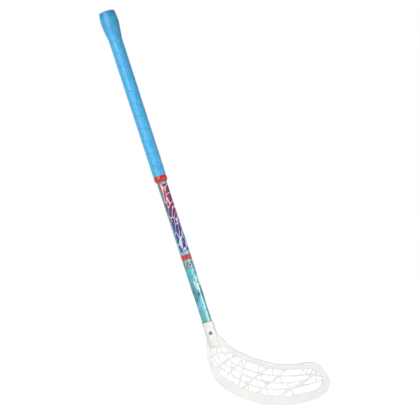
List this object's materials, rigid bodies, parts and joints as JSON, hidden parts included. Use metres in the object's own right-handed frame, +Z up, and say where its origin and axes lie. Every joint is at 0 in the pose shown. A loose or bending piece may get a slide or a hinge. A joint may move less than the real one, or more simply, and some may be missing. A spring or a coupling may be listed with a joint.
{
  "type": "floorball stick",
  "caption": "Children's floorball stick: slim round shaft, spiral-wound grip that swells into a knob, finishing ring, and a hooked plastic blade with an open lattice of ribs.",
  "frame": {"origin": "middle of the blade's flat sole, where the stick touches the floor in playing position", "axes": "+X along the sole towards the toe, +Z up from the floor, -Y to the side that the blade's hollow face looks to; the shaft leans 18 degrees from upright towards -X"},
  "size_m": [0.4608, 0.0384, 0.7881],
  "materials": {
    "tube_composite": "satin",
    "printed_film": "gloss",
    "collar_foam": "matt",
    "plug_plastic": "satin",
    "ring_rubber": "gloss",
    "grip_band": "soft satin",
    "blade_plastic": "satin",
    "screw_steel": "blackened"
  },
  "bodies": {
    "root": {"shaft_tube": "tube_composite", "print_film": "printed_film", "knob_collar": "collar_foam", "end_plug": "plug_plastic", "grip_ring": "ring_rubber", "grip_wrap": "grip_band", "blade": "blade_plastic", "blade_screws": "screw_steel"}
  },
  "joints": []
}
